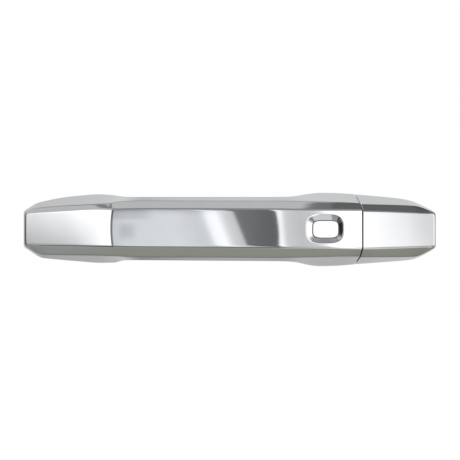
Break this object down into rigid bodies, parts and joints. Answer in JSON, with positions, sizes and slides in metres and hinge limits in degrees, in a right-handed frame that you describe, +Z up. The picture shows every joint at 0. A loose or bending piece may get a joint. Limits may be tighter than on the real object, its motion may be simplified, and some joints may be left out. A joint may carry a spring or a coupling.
{
  "type": "car door handle",
  "caption": "Outside handle for a car door: chrome strap grip that pivots out, push button, fixed end cap, and the chassis and lever that work the latch rod.",
  "frame": {"origin": "middle of the handle's length and height, on the outer surface of the door's skin", "axes": "+X along the door towards the car's rear, +Z up, -Y out of the door towards the person"},
  "size_m": [0.2398, 0.086, 0.0428],
  "materials": {
    "chrome_plate": "bright chrome plating on moulded plastic, mirror smooth",
    "black_plastic": "moulded black plastic with a fine grain",
    "filled_nylon": "glass-filled nylon, dull, as moulded",
    "white_acetal": "natural acetal, slightly waxy",
    "rubber": "soft black rubber",
    "plated_steel": "zinc-plated steel",
    "spring_steel": "oiled spring wire",
    "cast_zinc": "die-cast zinc, dull grey",
    "circuit_board": "green lacquered board",
    "ferrite": "sintered ferrite, dark grey",
    "copper_wire": "enamelled copper winding"
  },
  "bodies": {
    "chassis": {"chassis": "filled_nylon", "front_gasket": "rubber", "rear_gasket": "rubber", "pivot_pin": "plated_steel", "lever_pin": "plated_steel", "lever_pin_clip": "spring_steel", "return_spring": "spring_steel", "lever_bumper": "rubber", "end_cap": "chrome_plate", "cap_holder": "black_plastic", "cap_screw": "plated_steel", "lock_screw": "plated_steel", "door_screw_front": "plated_steel", "door_screw_rear": "plated_steel", "wire_grommet": "rubber"},
    "grip": {"grip_shell": "chrome_plate", "grip_back_cover": "black_plastic", "grip_carrier": "filled_nylon", "grip_screw_front": "plated_steel", "grip_screw_middle": "plated_steel", "grip_screw_rear": "plated_steel", "pivot_bush_upper": "white_acetal", "pivot_bush_lower": "white_acetal", "sensor_board": "circuit_board", "antenna_core": "ferrite", "antenna_coil": "copper_wire", "switch_board": "circuit_board", "switch_body": "black_plastic", "button_boot": "rubber"},
    "button": {"button_cap": "chrome_plate", "button_plunger": "white_acetal", "switch_actuator": "white_acetal"},
    "lever": {"lever": "filled_nylon", "lever_bush": "white_acetal", "counterweight": "cast_zinc", "counterweight_rivet": "plated_steel"},
    "rod_clip": {"rod_clip": "white_acetal"}
  },
  "joints": [
    {"name": "grip_pull", "type": "hinge", "parent": "chassis", "child": "grip", "pos_m": [-0.109, 0.009, 0], "axis": [0, 0, -1], "range_deg": [0, 8]},
    {"name": "button_press", "type": "slide", "parent": "grip", "child": "button", "axis": [0, 1, 0], "range_m": [0, 0.0012], "stiffness_N_per_m": 800, "springref_m": -0.002, "deforming": ["button_boot"]},
    {"name": "lever_turn", "type": "hinge", "parent": "chassis", "child": "lever", "pos_m": [0.027, 0.026, 0], "axis": [0, 0, -1], "range_deg": [0, 42], "stiffness_Nm_per_rad": 0.6, "springref_deg": -40.11, "deforming": ["return_spring"]},
    {"name": "rod_clip_turn", "type": "hinge", "parent": "lever", "child": "rod_clip", "pos_m": [0.02058, 0.04282, 0], "axis": [0, 0, 1], "range_deg": [-45, 45]}
  ],
  "couplings": [
    {"joint": "lever_turn", "follows": "grip_pull", "ratio": 5.225}
  ]
}
